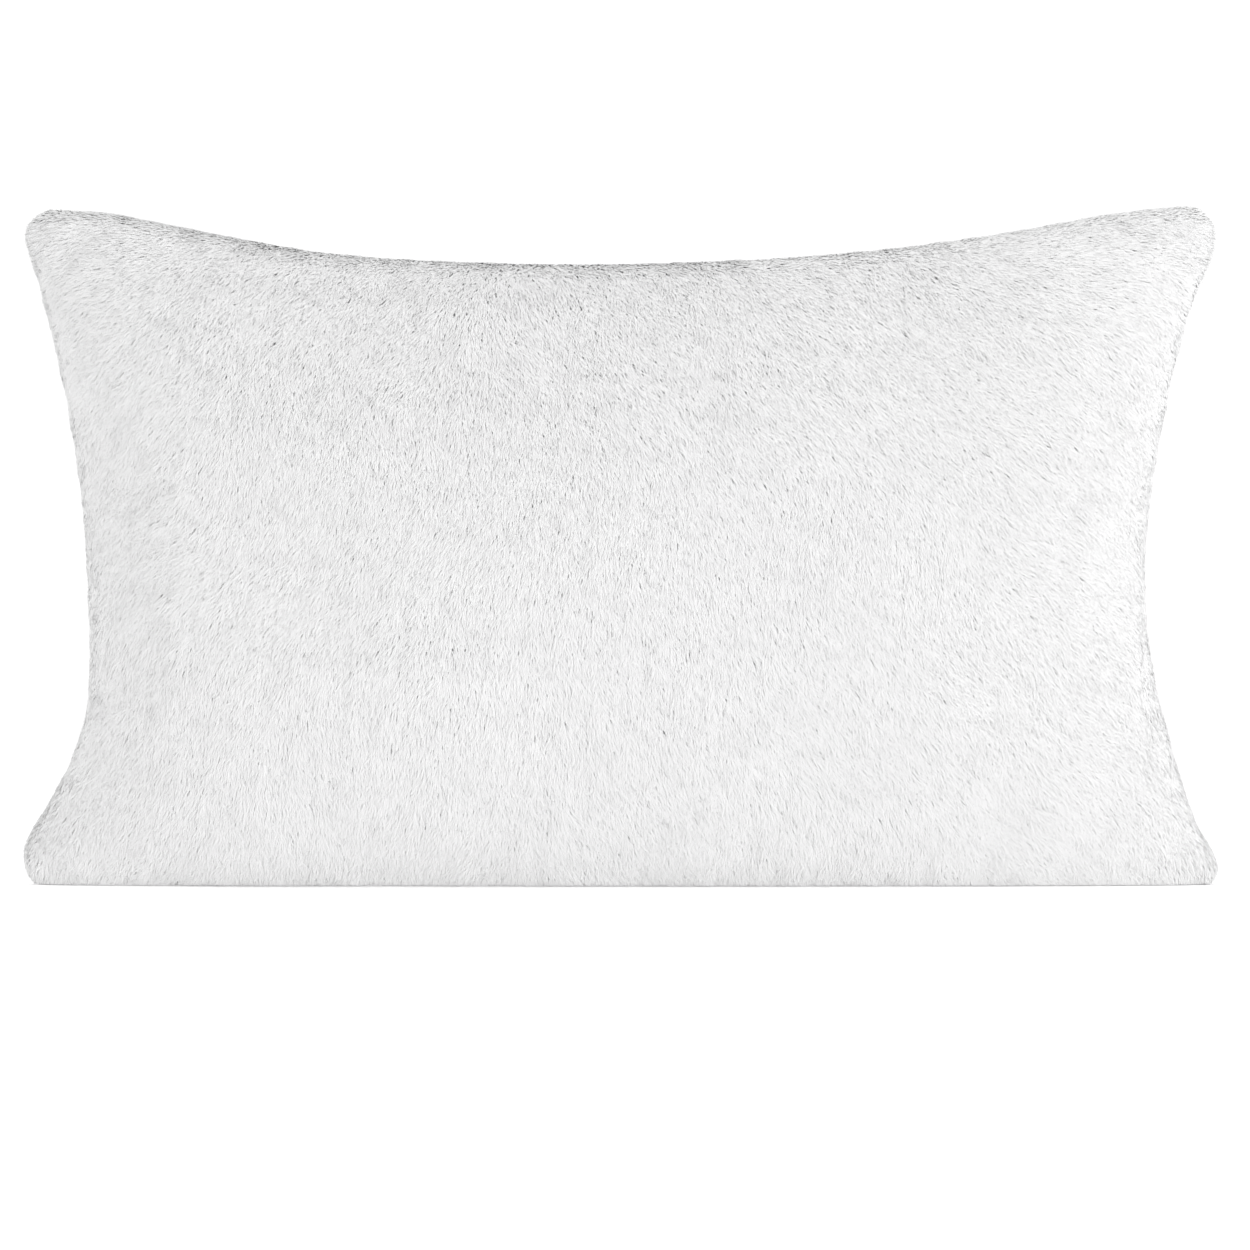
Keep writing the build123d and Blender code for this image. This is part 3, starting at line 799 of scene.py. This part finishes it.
def fibre_fill():
    """The filling: one closed form with soft lumps."""
    points, quads, rim = closed_skin(120, 76, FILL_EDGE, FILL_INSET, FILL_INSET)
    lumps = 1 - 0.05 * (1 + fibre_lumps(points[..., 0], points[..., 2])) * ~rim
    points[..., 1] *= lumps
    piece = quads_object("fluffed_fibre_fill", points, quads, fibre)
    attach(piece, "pillow")
    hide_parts("fibre_fill")


def label_sheet(node):
    """A blank label that lies in a shallow curl where its CAD solid is."""
    low, high = (np.array(corner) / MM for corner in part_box(node))
    columns, rows = 30, 18
    along, across = np.linspace(low[0], high[0], columns), np.linspace(low[1], high[1], rows)
    x, y = np.meshgrid(along, across, indexing="ij")
    z = (low[2] + high[2]) / 2 + LABEL_CURL * np.sin((x - low[0]) / LABEL_CURL_LENGTH)
    piece = quads_object(f"sheet_{node}", np.stack([x, y, z], -1), grid_quads(columns, rows), label_cloth)
    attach(piece, "pillow")
    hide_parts(node)


def paint(material, *nodes):
    """Gives CAD nodes whose shape is right their finished material."""
    for node in nodes:
        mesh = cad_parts[node].data
        mesh.materials.clear()
        mesh.materials.append(material)


fibre_lumps = waves(41, 24, 18, 60)


# ---------------------------------------------------------------- studio
def camera():
    """Level, square to the front, at the height of the picture's middle."""
    data = bpy.data.cameras.new("camera")
    data.lens = LENS
    data.sensor_width = SENSOR
    data.clip_end = 50
    eye = bpy.data.objects.new("camera", data)
    eye.location = (AIM_X, -FRAME_WIDTH * LENS / SENSOR, AIM_Z)
    eye.rotation_euler = (radians(90), 0, 0)
    bpy.context.scene.collection.objects.link(eye)
    bpy.context.scene.camera = eye


def area_light(name, place, aim, size, power):
    data = bpy.data.lights.new(name, "AREA")
    data.shape = "DISK"
    data.size = size
    data.energy = power
    lamp = bpy.data.objects.new(name, data)
    lamp.location = place
    way = np.array(aim, float) - np.array(place, float)
    lamp.rotation_euler = Vector(way).to_track_quat("-Z", "Y").to_euler()
    bpy.context.scene.collection.objects.link(lamp)


def studio():
    scene = bpy.context.scene
    scene.view_settings.view_transform = "Standard"
    scene.cycles.max_bounces = 16
    scene.cycles.diffuse_bounces = 12
    world = bpy.data.worlds.new("studio")
    scene.world = world
    world.use_nodes = True
    nodes, links = world.node_tree.nodes, world.node_tree.links
    place = nodes.new("ShaderNodeTexCoord")
    split = nodes.new("ShaderNodeSeparateXYZ")
    sky = nodes.new("ShaderNodeMapRange")
    sky.inputs["From Min"].default_value = -0.5
    sky.inputs["From Max"].default_value = 0.5
    sky.inputs["To Min"].default_value = FRONT_SKY
    sky.inputs["To Max"].default_value = BACK_SKY
    links.new(place.outputs["Generated"], split.inputs[0])
    links.new(split.outputs["Y"], sky.inputs["Value"])
    ray = nodes.new("ShaderNodeLightPath")
    strength = nodes.new("ShaderNodeMapRange")
    strength.inputs["To Max"].default_value = BACKDROP
    links.new(ray.outputs["Is Camera Ray"], strength.inputs["Value"])
    links.new(sky.outputs[0], strength.inputs["To Min"])
    links.new(strength.outputs[0], nodes["Background"].inputs["Strength"])
    nodes["Background"].inputs["Color"].default_value = (1, 1, 1, 1)
    floor_material = cloth_material("studio_floor", (0.93, 0.93, 0.93), 0.005, 2.0, 0.8, 0.0)
    lit_floor = floor_material.node_tree.nodes["Principled BSDF"]
    lit_floor.inputs["Emission Color"].default_value = (1, 1, 1, 1)
    lit_floor.inputs["Emission Strength"].default_value = FLOOR_GLOW
    corners = [[x * FLOOR_REACH, y * FLOOR_REACH, 0] for x, y in ((-1, -1), (1, -1), (1, 1), (-1, 1))]
    floor = quads_object("studio_floor", corners, [[0, 1, 2, 3]], floor_material, smooth=False)
    area_light("key_right", (1.9, -1.2, 0.9), (0, 0, 0.14), 1.4, KEY_POWER)
    area_light("fill_back", (-1.7, 1.3, 0.9), (0, 0, 0.14), 0.9, BACK_POWER)
    sun = bpy.data.lights.new("overhead", "SUN")
    sun.angle = radians(60)
    sun.energy = OVERHEAD_LIGHT
    lamp = bpy.data.objects.new("overhead", sun)
    bpy.context.scene.collection.objects.link(lamp)


plush = plush_material()
back_fabric = back_fabric_material()
tape_cloth = zip_tape_material()
nylon = zip_coil_material()
enamel = zip_metal_material()
thread = thread_material()
label_cloth = label_material()
insert_fabric = insert_fabric_material()
fibre = fibre_material()

camera()
studio()
settle()
front_backing()
pile()
back_panel(UPPER, "back_panel_upper")
back_panel(LOWER, "back_panel_lower")
zip_tape("zip_tape_upper")
zip_tape("zip_tape_lower")
zip_coil(UPPER, "zip_coil_upper")
zip_coil(LOWER, "zip_coil_lower")
zip_topstitches(UPPER, "zip_stitches_upper")
zip_topstitches(LOWER, "zip_stitches_lower")
coil_stitches()
bartacks()
insert_panel(FRONT, INSERT_FRONT_INSET, "insert_front_panel")
insert_panel(BACK, INSERT_BACK_INSET, "insert_back_panel")
fibre_fill()
label_sheet("care_label")
label_sheet("insert_label")
paint(enamel, "zip_top_stops", "zip_bottom_stop", "zip_slider_body", "zip_pull_tab")
paint(thread, "cover_seam_thread", "cover_overlock_thread", "insert_seam_thread", "insert_closing_stitches")
